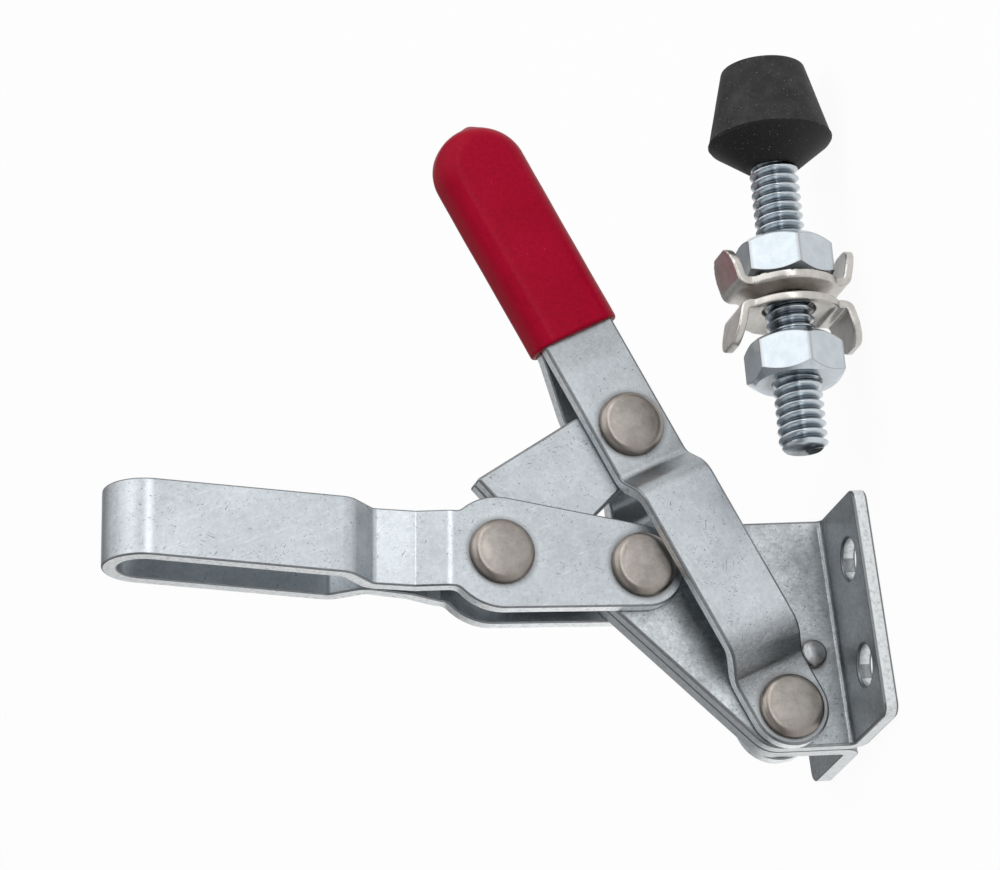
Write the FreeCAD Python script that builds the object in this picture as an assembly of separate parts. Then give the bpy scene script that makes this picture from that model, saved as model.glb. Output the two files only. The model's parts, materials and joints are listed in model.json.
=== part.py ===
"""Vertical-handle toggle clamp, shown open, with its rubber-tipped spindle lying beside it.

Frame: +X forward (the clamping side), +Y to the left, +Z up.  The origin is the centre of the
base's bolt pattern, on the mounting face.  Sizes are in millimetres.

The clamp is a four-bar linkage riveted from sheet strips in layers: the base plates and the link
plates share the middle layer, the arm's walls run outside them, and the handle strips jog outwards
to pass over the arm.
"""
import FreeCAD, Part
import math
import os

from FreeCAD import Rotation, Vector

# ---------------------------------------------------------------- fits
play = 0.05                 # running clearance between layers, and round a rivet's shank

# ---------------------------------------------------------------- base plates
base_sheet = 2.0
base_length = 30.0
flange_reach = 14.6         # middle plane to the flange's free edge
flange_corner = 1.6
fold_inside = 0.6
bolt_spacing_x = 14.1
bolt_spacing_y = 19.7
bolt_hole_radius = 2.65
arm_pivot_from_rear = 5.8   # the rivet that carries the arm, in from the plate's rear edge
arm_pivot_height = 27.1
handle_pivot_from_front = 4.75
handle_pivot_height = 10.25
base_eye_radius = 5.75      # round end of the plate about the arm's rivet
base_slope_angle = 42.8     # fall of the sloping front edge below level
base_slope_gap = 6.3        # arm rivet to the sloping edge
base_front_corner = 4.5

# ---------------------------------------------------------------- linkage, in the open pose
arm_crank = 18.5            # arm rivet to link rivet
link_length = 25.35
handle_crank = 41.4         # handle rivet to link rivet
arm_open_angle = 97.4       # above +X

# ---------------------------------------------------------------- arm, one folded strip
arm_sheet = 2.0
arm_strip_width = 10.1
arm_eye_radius = 5.45
arm_boss_radius = 7.4       # widened round the link rivet
arm_boss_blend = 1.5
arm_bend_radius = 1.0       # inside radius of the strip's bends
slot_width = 6.8            # inside the loop
slot_end = 66.7             # arm rivet to the loop's inner end
slot_start = 38.6
neck_start = 34.9           # where the two walls meet
neck_end = 29.0
neck_gap = 0.1
neck_end_gap = 1.1
plates_start = 25.0         # from here the walls run straight to the arm's rivet

# ---------------------------------------------------------------- link plates
link_sheet = 2.0
link_half_width = 5.1
link_eye_radius = 4.8       # at the handle's end
nose_from_arm_rivet = 5.9   # the nose's stop edge, along the link
nose_reach = 8.8            # the nose's corner, across the link
nose_stop_slant = 0.45

# ---------------------------------------------------------------- handle strips
handle_sheet = 2.0
handle_width = 10.2
handle_end_radius = 5.0
handle_bend_radius = 1.5
jog_clearance = 0.2         # strip to the arm rivet's head under it
lower_jog = (6.0, 9.1)      # along the handle, from its rivet
upper_jog_before_link = 6.5     # from the upper jog's end to the link's rivet
upper_jog_length = 3.0
closing_after_link = 0.5    # from the link's round end to where the right strip bends over
closing_length = 7.6        # and from there to where it lies against the left strip
handle_gap = 0.1            # between the strips inside the grip

# ---------------------------------------------------------------- grip
grip_wall = 1.1
grip_after_link = 13.6      # link's rivet to the mouth
grip_length = 31.2
grip_edge_radius = 2.6

# ---------------------------------------------------------------- rivets
rivet_shank_radius = 2.75
rivet_head_radius = 4.2
rivet_head_height = 1.45
rivet_rim_height = 0.55
head_flat_share = 0.5       # flat top of a head, as a share of its radius
head_bands = 2              # conical bands that crown its shoulder
stop_shank_radius = 1.4
stop_head_radius = 1.8
stop_head_height = 1.3
stop_rim_height = 0.2
stop_along_handle = 5.1
stop_gap = 0.1              # open handle's edge to the stop's head

# ---------------------------------------------------------------- spindle
thread_radius = 3.1
thread_end_chamfer = 0.6
tip_face_radius = 5.4
tip_rim_radius = 8.0
tip_front_length = 9.9      # face to rim
tip_back_length = 3.65      # rim to neck
tip_neck_radius = 3.5
tip_edge_chamfer = 0.3
stud_head_across_flats = 10.0
stud_head_length = 4.0
stud_head_behind_rim = 0.8
stud_length = 37.8          # beyond the rubber
nut_across_flats = 11.1
nut_length = 5.5
nut_chamfer_angle = 30.0
first_nut_at = 10.3         # rubber to the first nut
nuts_apart = 7.7            # between the two nuts' inner faces
washer_sheet = 1.1
washer_radius = 6.6
washer_dish = 0.9           # rim rises this much towards its nut
washer_flat_radius = 4.0
washer_bore_radius = 3.4
ear_width = 7.4
ear_length = 5.0
ear_splay = 14.0
ear_root = 1.7              # the ear's strip starts this far inside the rim
ear_overhang = 0.25         # and bends this far outside it
ear_bend_radius = 0.3
ear_round = 3.1             # the ear's corners
first_washer_gap = 0.25     # nut to the first washer's rim
washers_touch_gap = 0.15    # between the washers' flats
spindle_middle = (-43.8, 20.4)   # X, Y of the spindle's mid-length
spindle_yaw = 0.0

# ================================================================ small geometry helpers


def turned(point, angle):
    """A point (x, z) turned by an angle in degrees from +X towards +Z."""
    c, s = math.cos(math.radians(angle)), math.sin(math.radians(angle))
    return (point[0] * c - point[1] * s, point[0] * s + point[1] * c)


def ahead(start, angle, distance):
    """The point (x, z) at a distance from start, along an angle from +X towards +Z."""
    step = turned((distance, 0), angle)
    return (start[0] + step[0], start[1] + step[1])


def meeting_point(first, first_reach, second, second_reach):
    """The point (x, z) at given distances from two others, on the left of first to second."""
    dx, dz = second[0] - first[0], second[1] - first[1]
    apart = math.hypot(dx, dz)
    along = (apart ** 2 + first_reach ** 2 - second_reach ** 2) / (2 * apart)
    aside = math.sqrt(first_reach ** 2 - along ** 2)
    return (first[0] + (along * dx - aside * dz) / apart,
            first[1] + (along * dz + aside * dx) / apart)


def heading(start, end):
    """The angle in degrees of the line from start to end, from +X towards +Z."""
    return math.degrees(math.atan2(end[1] - start[1], end[0] - start[0]))


def rounded_edges(corners, to_space, closed=True):
    """Edges through corners (a, b, radius), each corner rounded by its radius."""
    count = len(corners)
    arcs = []
    for i, (a, b, radius) in enumerate(corners):
        here = Vector(a, b, 0)
        if radius <= 0 or (not closed and i in (0, count - 1)):
            arcs.append((here, None, here))
            continue
        back = Vector(*corners[i - 1][:2], 0) - here
        on = Vector(*corners[(i + 1) % count][:2], 0) - here
        back.normalize()
        on.normalize()
        half = back.getAngle(on) / 2
        reach = radius / math.tan(half)
        bisector = (back + on).normalize()
        middle = here + bisector * (radius / math.sin(half) - radius)
        arcs.append((here + back * reach, middle, here + on * reach))
    edges = []
    for i, (start, middle, end) in enumerate(arcs):
        if middle is not None:
            edges.append(Part.Arc(to_space(start), to_space(middle), to_space(end)).toShape())
        if i == count - 1 and not closed:
            break
        nearest = arcs[(i + 1) % count][0]
        if (nearest - end).Length > 1e-6:
            edges.append(Part.LineSegment(to_space(end), to_space(nearest)).toShape())
    return edges


def side_view(p):
    """A sketch point as a point of the XZ plane."""
    return Vector(p.x, 0, p.y)


def top_view(p):
    """A sketch point as a point of the XY plane."""
    return Vector(p.x, p.y, 0)


def end_view(p):
    """A sketch point as a point of the YZ plane."""
    return Vector(0, p.x, p.y)


def flat_face(corners, to_space):
    """A face bounded by rounded corners."""
    return Part.Face(Part.Wire(rounded_edges(corners, to_space)))


def across(face, low, high):
    """A face of the XZ plane as a slab from y = low to y = high."""
    face = face.copy()
    face.translate(Vector(0, low, 0))
    return face.extrude(Vector(0, high - low, 0))


def cross_pin(x, z, radius, low, high):
    """A cylinder along Y."""
    return Part.makeCylinder(radius, high - low, Vector(x, low, z), Vector(0, 1, 0))


def tapered_bar(reach, start_radius, end_radius):
    """A face round (0, 0) and (reach, 0), with straight sides tangent to both rounds."""
    lean = math.asin((start_radius - end_radius) / reach)
    side = Vector(math.sin(lean), math.cos(lean), 0)
    down = Vector(side.x, -side.y, 0)
    near_centre, far_centre = Vector(0, 0, 0), Vector(reach, 0, 0)
    points = [near_centre + side * start_radius, near_centre - Vector(start_radius, 0, 0),
              near_centre + down * start_radius, far_centre + down * end_radius,
              far_centre + Vector(end_radius, 0, 0), far_centre + side * end_radius]
    a, b, c, d, e, f = [side_view(p) for p in points]
    return Part.Face(Part.Wire([Part.Arc(a, b, c).toShape(), Part.LineSegment(c, d).toShape(),
                                Part.Arc(d, e, f).toShape(), Part.LineSegment(f, a).toShape()]))


def offset_path(path, distance):
    """The corners of an open path (a, b), moved sideways to its left by a distance."""
    moved = []
    for i, (a, b) in enumerate(path):
        before = path[max(i - 1, 0)]
        after = path[min(i + 1, len(path) - 1)]
        into = Vector(a - before[0], b - before[1], 0)
        out = Vector(after[0] - a, after[1] - b, 0)
        into = into if into.Length else out
        out = out if out.Length else into
        into, out = into.normalize(), out.normalize()
        mean = (into + out).normalize()
        stretch = distance / mean.dot(into)
        moved.append((a - mean.y * stretch, b + mean.x * stretch))
    return moved


def bent_strip(path, sheet, bend_radius, width):
    """A sheet strip bent along a path (x, y, extra radius or None), its width along Z."""
    line = [(x, y) for x, y, _ in path]
    left, right = offset_path(line, sheet / 2), offset_path(line, -sheet / 2)
    corners = []
    for side, flip in ((left, 1), (right, -1)):
        run = []
        for i, (x, y) in enumerate(side):
            if i in (0, len(path) - 1):
                run.append((x, y, 0))
                continue
            mid_radius = path[i][2] or bend_radius + sheet / 2
            turn = ((line[i][0] - line[i - 1][0]) * (line[i + 1][1] - line[i][1])
                    - (line[i][1] - line[i - 1][1]) * (line[i + 1][0] - line[i][0]))
            inwards = math.copysign(sheet / 2, turn) * flip
            run.append((x, y, mid_radius - inwards))
        corners += run if flip == 1 else run[::-1]
    face = flat_face(corners, top_view)
    face.translate(Vector(0, 0, -width / 2))
    return face.extrude(Vector(0, 0, width))


def placed(shape, pivot, angle):
    """A shape drawn along +X about the origin, moved to a pivot and raised by an angle."""
    move = FreeCAD.Placement(Vector(pivot[0], 0, pivot[1]), Rotation(Vector(0, 1, 0), -angle))
    shape = shape.copy()
    shape.Placement = move.multiply(shape.Placement)
    return shape


def mirrored(shape):
    """The same shape on the other side of the middle plane."""
    return shape.mirror(Vector(0, 0, 0), Vector(0, 1, 0))


# ================================================================ layers and pivots
# Half-thickness of each layer, measured from the middle plane.
middle_layer = max(base_sheet, link_sheet)
arm_inner = middle_layer + play
arm_outer = arm_inner + arm_sheet
handle_inner = middle_layer + play
handle_outer = handle_inner + handle_sheet
head_top_over_arm = arm_outer + play + rivet_head_height
jog_inner = head_top_over_arm + jog_clearance
upper_jog = (handle_crank - upper_jog_before_link - upper_jog_length,
             handle_crank - upper_jog_before_link)
closing_start = handle_crank + link_eye_radius + closing_after_link
grip_start = handle_crank + grip_after_link
grip_end = grip_start + grip_length
grip_middle = handle_inner - handle_gap / 2     # the plane between the strips inside the grip
rivet_hole_radius = rivet_shank_radius + play
stop_hole_radius = stop_shank_radius + play

arm_pivot = (arm_pivot_from_rear - base_length / 2, arm_pivot_height)
handle_pivot = (base_length / 2 - handle_pivot_from_front, handle_pivot_height)
link_arm_pivot = ahead(arm_pivot, arm_open_angle, arm_crank)
link_handle_pivot = meeting_point(handle_pivot, handle_crank, link_arm_pivot, link_length)
handle_open_angle = heading(handle_pivot, link_handle_pivot)
link_open_angle = heading(link_arm_pivot, link_handle_pivot)
stop_aside = handle_width / 2 + stop_gap + stop_head_radius
stop_place = ahead(ahead(handle_pivot, handle_open_angle, stop_along_handle),
                   handle_open_angle + 90, stop_aside)


# ================================================================ pieces
def base_plate():
    """The left base plate: an upright web with its foot folded outwards as a flange."""
    half = base_length / 2
    height = arm_pivot[1] + base_eye_radius
    fall = math.radians(base_slope_angle)
    normal = (math.sin(fall), math.cos(fall))
    reach = arm_pivot[0] * normal[0] + arm_pivot[1] * normal[1] + base_slope_gap
    top_x = (reach - height * normal[1]) / normal[0]
    front_z = (reach - half * normal[0]) / normal[1]
    outline = [(-half, 0, 0), (-half, height, base_eye_radius), (top_x, height, base_eye_radius),
               (half, front_z, base_front_corner), (half, 0, 0)]
    fold_outside = fold_inside + base_sheet
    section = [(0, 0, fold_outside), (flange_reach, 0, 0), (flange_reach, base_sheet, 0),
               (base_sheet, base_sheet, fold_inside), (base_sheet, height, 0), (0, height, 0)]
    folded = flat_face(section, end_view).extrude(Vector(base_length, 0, 0))
    folded.translate(Vector(-half, 0, 0))
    plate = folded.common(across(flat_face(outline, side_view), -1, flange_reach + 1))
    plan = [(-half, -1, 0), (half, -1, 0), (half, flange_reach, flange_corner),
            (-half, flange_reach, flange_corner)]
    plate = plate.common(flat_face(plan, top_view).extrude(Vector(0, 0, height)))
    for x in (-bolt_spacing_x / 2, bolt_spacing_x / 2):
        hole = Part.makeCylinder(bolt_hole_radius, 2 * base_sheet,
                                 Vector(x, bolt_spacing_y / 2, -base_sheet / 2))
        plate = plate.cut(hole)
    for pivot, radius in ((arm_pivot, rivet_hole_radius), (handle_pivot, rivet_hole_radius),
                          (stop_place, stop_hole_radius)):
        plate = plate.cut(cross_pin(*pivot, radius, -1, base_sheet + 1))
    return plate


def arm():
    """The arm: one strip folded in a U, its loop open for the spindle, its walls pinched together
    behind the loop and spread again into two plates over the link and the base."""
    half = arm_sheet / 2
    wall = arm_inner + half
    loop = slot_width / 2 + half
    tail = -arm_eye_radius - 1
    one_side = [(tail, wall, None), (plates_start, wall, None),
                (neck_end, neck_end_gap / 2 + half, None), (neck_start, neck_gap / 2 + half, None),
                (slot_start, loop, None), (slot_end + half, loop, loop)]
    path = one_side + [(x, -y, r) for x, y, r in reversed(one_side)]
    strip = bent_strip(path, arm_sheet, arm_bend_radius, 3 * arm_boss_radius)
    reach = slot_end + 2 * arm_sheet
    bar = Part.makeBox(reach - arm_crank, 4 * loop, arm_strip_width,
                       Vector(arm_crank, -2 * loop, -arm_strip_width / 2))
    plates = across(tapered_bar(arm_crank, arm_eye_radius, arm_boss_radius), -2 * loop, 2 * loop)
    outline = plates.fuse(bar).removeSplitter()
    corner_x = arm_crank + math.sqrt(arm_boss_radius ** 2 - (arm_strip_width / 2) ** 2)
    inner = [e for e in outline.Edges
             if abs(e.CenterOfMass.x - corner_x) < 0.01
             and abs(abs(e.CenterOfMass.z) - arm_strip_width / 2) < 0.01]
    outline = outline.makeFillet(arm_boss_blend, inner)
    shape = strip.common(outline)
    for x in (0, arm_crank):
        shape = shape.cut(cross_pin(x, 0, rivet_hole_radius, -2 * loop, 2 * loop))
    return placed(shape, arm_pivot, arm_open_angle)


def link_plate():
    """The left link plate: a bar with round ends and a nose that stops on the arm's neck."""
    bar = across(tapered_bar(link_length, link_half_width, link_eye_radius), 0, link_sheet)
    corner = (nose_from_arm_rivet, -nose_reach)
    distance = math.hypot(link_length - corner[0], corner[1])
    towards = math.atan2(-corner[1], link_length - corner[0])
    grazing = towards - math.asin(link_eye_radius / distance)
    run = math.sqrt(distance ** 2 - link_eye_radius ** 2)
    touch = (corner[0] + run * math.cos(grazing), corner[1] + run * math.sin(grazing))
    nose = [(*corner, 0), (*touch, 0), (link_length, 0, 0),
            (nose_from_arm_rivet - nose_stop_slant, 0, 0)]
    plate = bar.fuse(across(flat_face(nose, side_view), 0, link_sheet)).removeSplitter()
    for x in (0, link_length):
        plate = plate.cut(cross_pin(x, 0, rivet_hole_radius, -1, link_sheet + 1))
    return placed(plate, link_arm_pivot, link_open_angle)


def handle_plate(closing):
    """A handle strip, drawn on the left: flat on the base and on the link, and jogged out over
    the arm between them.  The right strip also bends over, to lie against the left one in the
    grip."""
    half = handle_sheet / 2
    beside, outside = handle_inner + half, jog_inner + half
    path = [(-handle_end_radius - 1, beside, None), (lower_jog[0], beside, None),
            (lower_jog[1], outside, None), (upper_jog[0], outside, None),
            (upper_jog[1], beside, None)]
    if closing:
        together = half + handle_gap / 2 - grip_middle
        path += [(closing_start, beside, None), (closing_start + closing_length, together, None),
                 (grip_end, together, None)]
    else:
        path.append((grip_end, beside, None))
    strip = bent_strip(path, handle_sheet, handle_bend_radius, 2 * handle_width)
    end_round = handle_width / 2
    length = grip_end - grip_wall
    outline = [(-handle_end_radius, -end_round, end_round), (length, -end_round, end_round),
               (length, end_round, end_round), (-handle_end_radius, end_round, end_round)]
    shape = strip.common(across(flat_face(outline, side_view), -2 * outside, 2 * outside))
    for x in (0, handle_crank):
        shape = shape.cut(cross_pin(x, 0, rivet_hole_radius, 0, 2 * outside))
    return placed(shape, handle_pivot, handle_open_angle)


def grip():
    """The dipped vinyl grip, round at its end and fitted over both handle strips."""
    half_width = handle_width / 2 + grip_wall
    half_depth = handle_gap / 2 + handle_sheet + grip_wall
    outer = [(grip_start, -half_width, 0), (grip_end, -half_width, half_width),
             (grip_end, half_width, half_width), (grip_start, half_width, 0)]
    body = across(flat_face(outer, side_view), -half_depth, half_depth)
    rims = [e for e in body.Edges
            if abs(abs(e.CenterOfMass.y) - half_depth) < 1e-6
            and e.CenterOfMass.x > grip_start + 0.1]
    body = body.makeFillet(grip_edge_radius, rims)
    pocket_depth = handle_gap / 2 + handle_sheet
    length, inner = grip_end - grip_wall, handle_width / 2
    inside = [(grip_start - 1, -inner, 0), (length, -inner, inner),
              (length, inner, inner), (grip_start - 1, inner, 0)]
    body = body.cut(across(flat_face(inside, side_view), -pocket_depth, pocket_depth))
    body.translate(Vector(0, grip_middle, 0))
    return placed(body, handle_pivot, handle_open_angle)


def rivet_head(base_y, radius, height, rim):
    """A head on the +Y side, its flat face at base_y: a low rim, a crowned shoulder, a flat top."""
    flat = radius * head_flat_share
    width, rise = radius - flat, height - rim
    outline = [Vector(0, base_y, 0), Vector(radius, base_y, 0)]
    for step in range(head_bands + 1):
        angle = math.pi / 2 * step / head_bands
        outline.append(Vector(flat + width * math.cos(angle),
                              base_y + rim + rise * math.sin(angle), 0))
    outline += [Vector(0, base_y + height, 0), Vector(0, base_y, 0)]
    return Part.Face(Part.makePolygon(outline)).revolve(Vector(0, 0, 0), Vector(0, 1, 0), 360)


def through_rivet(pivot, head_from):
    """A rivet right through, its heads starting at y = head_from on both sides."""
    head = rivet_head(head_from, rivet_head_radius, rivet_head_height, rivet_rim_height)
    shank = cross_pin(0, 0, rivet_shank_radius, -head_from, head_from)
    shape = head.fuse(mirrored(head)).fuse(shank).removeSplitter()
    shape.translate(Vector(pivot[0], 0, pivot[1]))
    return shape


def arm_pivot_rivet():
    """The rivet between arm and base.  The linkage is opened here, so its two headed ends stay
    with the arm and leave the base plates' layer clear."""
    head = rivet_head(arm_outer + play, rivet_head_radius, rivet_head_height, rivet_rim_height)
    end = head.fuse(cross_pin(0, 0, rivet_shank_radius, arm_inner, arm_outer + play))
    end = end.removeSplitter()
    pair = Part.makeCompound([end, mirrored(end)])
    pair.translate(Vector(arm_pivot[0], 0, arm_pivot[1]))
    return pair


def stop_rivet():
    """The small rivet through both base plates that the open handle rests against."""
    head = rivet_head(base_sheet, stop_head_radius, stop_head_height, stop_rim_height)
    shank = cross_pin(0, 0, stop_shank_radius, -base_sheet, base_sheet)
    shape = head.fuse(mirrored(head)).fuse(shank).removeSplitter()
    shape.translate(Vector(stop_place[0], 0, stop_place[1]))
    return shape


# ================================================================ spindle, drawn along +X
# x = 0 is the rubber tip's widest rim; its face is at negative x.
spindle_end = tip_back_length + stud_length
first_nut_x = tip_back_length + first_nut_at
second_nut_x = first_nut_x + nut_length + nuts_apart
first_washer_x = first_nut_x + nut_length + first_washer_gap + washer_dish + washer_sheet
second_washer_x = first_washer_x + washers_touch_gap


def revolved(profile):
    """A solid turned about X from profile corners (x, radius, corner radius)."""
    face = flat_face(profile, top_view)
    return face.revolve(Vector(0, 0, 0), Vector(1, 0, 0), 360)


def hexagon(across_flats, start, length):
    """A hexagonal bar along X with two flats level."""
    corner = across_flats / math.sqrt(3)
    points = [Vector(start, *turned((corner, 0), 60 * i)) for i in range(7)]
    return Part.Face(Part.makePolygon(points)).extrude(Vector(length, 0, 0))


def spindle_stud():
    """The threaded stud, its hexagonal head held inside the rubber."""
    chamfer_x = spindle_end - thread_end_chamfer
    end_radius = thread_radius - thread_end_chamfer
    shank = revolved([(stud_head_behind_rim, 0, 0), (stud_head_behind_rim, thread_radius, 0),
                      (chamfer_x, thread_radius, 0), (spindle_end, end_radius, 0),
                      (spindle_end, 0, 0)])
    head = hexagon(stud_head_across_flats, stud_head_behind_rim - stud_head_length, stud_head_length)
    return shank.fuse(head).removeSplitter()


def spindle_tip():
    """The moulded rubber tip: two cones back to back, cast round the stud's head."""
    half_rim = tip_edge_chamfer / 2
    body = revolved([(-tip_front_length, 0, 0),
                     (-tip_front_length, tip_face_radius - tip_edge_chamfer, 0),
                     (tip_edge_chamfer - tip_front_length, tip_face_radius, 0),
                     (-half_rim, tip_rim_radius, 0), (half_rim, tip_rim_radius, 0),
                     (tip_back_length, tip_neck_radius, 0), (tip_back_length, 0, 0)])
    return body.cut(spindle_stud())


def spindle_nut(start):
    """A hexagonal nut with both faces chamfered."""
    corner = nut_across_flats / math.sqrt(3)
    depth = (corner - nut_across_flats / 2) * math.tan(math.radians(nut_chamfer_angle))
    end = start + nut_length
    face = nut_across_flats / 2 - 0.1
    cone = revolved([(start, 0, 0), (start, face, 0), (start + depth, corner, 0),
                     (end - depth, corner, 0), (end, face, 0), (end, 0, 0)])
    bore = Part.makeCylinder(thread_radius + play, 3 * nut_length,
                             Vector(start - nut_length, 0, 0), Vector(1, 0, 0))
    return hexagon(nut_across_flats, start, nut_length).common(cone).cut(bore)


def flanged_washer():
    """A dished washer with two opposite ears bent towards its nut, at -X; its flat is at x = 0."""
    half = washer_sheet / 2
    lift = washer_sheet
    disc = revolved([(-lift, washer_bore_radius, 0), (0, washer_bore_radius, 0),
                     (0, washer_flat_radius, 0), (-washer_dish, washer_radius, 0),
                     (-washer_dish - lift, washer_radius, 0), (-lift, washer_flat_radius, 0)])
    lean = math.radians(ear_splay)
    foot_x = -washer_dish - half
    foot = (foot_x, washer_radius - ear_root)
    bend = (foot_x, washer_radius + ear_overhang)
    tip = (foot_x - ear_length * math.cos(lean), bend[1] + ear_length * math.sin(lean))
    strip = bent_strip([(*foot, None), (*bend, None), (*tip, None)], washer_sheet, ear_bend_radius,
                       ear_width)
    round_end = flat_face([(foot_x - ear_length, -ear_width / 2, ear_round),
                           (1, -ear_width / 2, 0), (1, ear_width / 2, 0),
                           (foot_x - ear_length, ear_width / 2, ear_round)], side_view)
    ear = strip.common(across(round_end, 0, 3 * washer_radius))
    bore = Part.makeCylinder(washer_bore_radius, 4 * ear_length,
                             Vector(-2 * ear_length, 0, 0), Vector(1, 0, 0))
    shape = disc.fuse([ear, mirrored(ear)]).removeSplitter().cut(bore)
    shape.rotate(Vector(0, 0, 0), Vector(1, 0, 0), 90)
    return shape


def first_washer():
    """The washer that faces the first nut."""
    shape = flanged_washer()
    shape.translate(Vector(first_washer_x, 0, 0))
    return shape


def second_washer():
    """The same washer turned round to face the second nut."""
    shape = flanged_washer()
    shape.rotate(Vector(0, 0, 0), Vector(0, 0, 1), 180)
    shape.translate(Vector(second_washer_x, 0, 0))
    return shape


def spindle_placement():
    """Where the spindle lies on the mounting plane: on its rubber rim and on an ear of the first
    washer."""
    lean = math.radians(ear_splay)
    ear_x = first_washer_x - washer_dish - washer_sheet / 2 - ear_length * math.cos(lean)
    ear_reach = washer_radius + ear_overhang + ear_length * math.sin(lean) + washer_sheet / 2
    slope = math.degrees(math.atan2(tip_rim_radius - ear_reach, ear_x))
    turn = Rotation(Vector(0, 0, 1), spindle_yaw).multiply(Rotation(Vector(0, 1, 0), slope))
    place = FreeCAD.Placement(Vector(0, 0, 0), turn)
    lowest = []
    for shape in (spindle_tip(), first_washer(), second_washer()):
        shape.Placement = place.multiply(shape.Placement)
        lowest.append(shape.optimalBoundingBox().ZMin)
    middle = turn.multVec(Vector((spindle_end - tip_front_length) / 2, 0, 0))
    place.Base = Vector(spindle_middle[0] - middle.x, spindle_middle[1] - middle.y, -min(lowest))
    return place


spindle_place = spindle_placement()


def laid_down(shape):
    """A spindle piece, moved to where the spindle lies."""
    shape = shape.copy()
    shape.Placement = spindle_place.multiply(shape.Placement)
    return shape


parts = {
    "base_plate_left": base_plate(),
    "base_plate_right": mirrored(base_plate()),
    "arm": arm(),
    "link_plate_left": link_plate(),
    "link_plate_right": mirrored(link_plate()),
    "handle_plate_left": handle_plate(closing=False),
    "handle_plate_right": mirrored(handle_plate(closing=True)),
    "grip": grip(),
    "arm_pivot_rivet": arm_pivot_rivet(),
    "link_arm_rivet": through_rivet(link_arm_pivot, arm_outer + play),
    "handle_link_rivet": through_rivet(link_handle_pivot, handle_outer + play),
    "handle_pivot_rivet": through_rivet(handle_pivot, handle_outer + play),
    "stop_rivet": stop_rivet(),
    "spindle_stud": laid_down(spindle_stud()),
    "spindle_tip": laid_down(spindle_tip()),
    "spindle_nut_upper": laid_down(spindle_nut(first_nut_x)),
    "spindle_nut_lower": laid_down(spindle_nut(second_nut_x)),
    "flanged_washer_upper": laid_down(first_washer()),
    "flanged_washer_lower": laid_down(second_washer()),
}

os.makedirs("parts", exist_ok=True)
for name, shape in parts.items():
    shape.exportStep("parts/" + name + ".step")
    print(name, "solids", len(shape.Solids), "valid", shape.isValid(),
          "volume", round(shape.Volume, 1))
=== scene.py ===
"""Looks of the vertical-handle toggle clamp and of the spindle that lies beside it.

Sizes in the classes are in millimetres and angles in degrees.  Meshes are written in metres in
the part's frame: +X forward, +Y left, +Z up, with the origin at the centre of the base's bolt
pattern.
"""

import json
import logging
import math
from collections.abc import Callable, Iterable, Iterator, Sequence
from contextlib import contextmanager
from dataclasses import dataclass
from enum import Enum

import bmesh
import bpy
import numpy as np
from bmesh.types import BMesh
from bpy.types import ID, Material, Mesh, Node, NodeSocket, NodeTree, Object
from mathutils import Matrix, Vector, noise

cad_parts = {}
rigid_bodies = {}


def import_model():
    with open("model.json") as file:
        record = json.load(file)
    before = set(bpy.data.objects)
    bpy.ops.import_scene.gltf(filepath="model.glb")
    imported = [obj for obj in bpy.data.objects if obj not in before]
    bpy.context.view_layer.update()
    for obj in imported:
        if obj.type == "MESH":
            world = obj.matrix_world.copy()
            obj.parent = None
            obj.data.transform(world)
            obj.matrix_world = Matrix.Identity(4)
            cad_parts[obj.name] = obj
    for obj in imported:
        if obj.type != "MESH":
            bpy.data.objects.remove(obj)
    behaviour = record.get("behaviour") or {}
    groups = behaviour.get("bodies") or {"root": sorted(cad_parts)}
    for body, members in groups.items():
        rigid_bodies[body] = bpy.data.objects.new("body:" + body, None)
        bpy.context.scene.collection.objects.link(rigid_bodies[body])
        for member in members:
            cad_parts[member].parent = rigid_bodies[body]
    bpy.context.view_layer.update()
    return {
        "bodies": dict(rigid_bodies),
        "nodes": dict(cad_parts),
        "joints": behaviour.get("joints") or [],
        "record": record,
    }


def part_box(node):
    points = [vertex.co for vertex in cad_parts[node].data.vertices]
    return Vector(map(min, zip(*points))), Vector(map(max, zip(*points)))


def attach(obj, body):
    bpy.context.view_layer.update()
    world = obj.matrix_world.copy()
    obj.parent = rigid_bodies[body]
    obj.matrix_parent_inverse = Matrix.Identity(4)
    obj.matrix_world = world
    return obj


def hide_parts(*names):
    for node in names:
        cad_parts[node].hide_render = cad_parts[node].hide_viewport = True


MM = 0.001
LOG = logging.getLogger("clamp")
CAD_WELD = 0.002        # points of a CAD mesh that are closer than this are one
TURNED_WELD = 0.001     # and points of a turned mesh

Colour = tuple[float, float, float]
Place = tuple[float, float, float]          # or any other three sizes
Point = tuple[float, float]                 # (x, z), or (along an axis, radius)
RimPoint = tuple[float, float, float]       # (along an axis, radius, nearness to a rim)


class Slot(Enum):
    """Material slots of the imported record."""

    ZINC_SHEET = "zinc_sheet"
    RIVET_NICKEL = "rivet_nickel"
    STOP_STEEL = "stop_steel"
    GRIP_VINYL = "grip_vinyl"
    TIP_RUBBER = "tip_rubber"
    FASTENER_ZINC = "fastener_zinc"
    WASHER_NICKEL = "washer_nickel"


# ---- node trees


def math_method(operation: str, reflected: bool = False) -> Callable[..., "Value"]:
    """A method that makes one Math node of a value and others, the value last if reflected."""

    def method(self: "Value", *others: "Number") -> "Value":
        """The node's result."""
        return self.tree.math(operation, *((*others, self) if reflected else (self, *others)))

    return method


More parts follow.
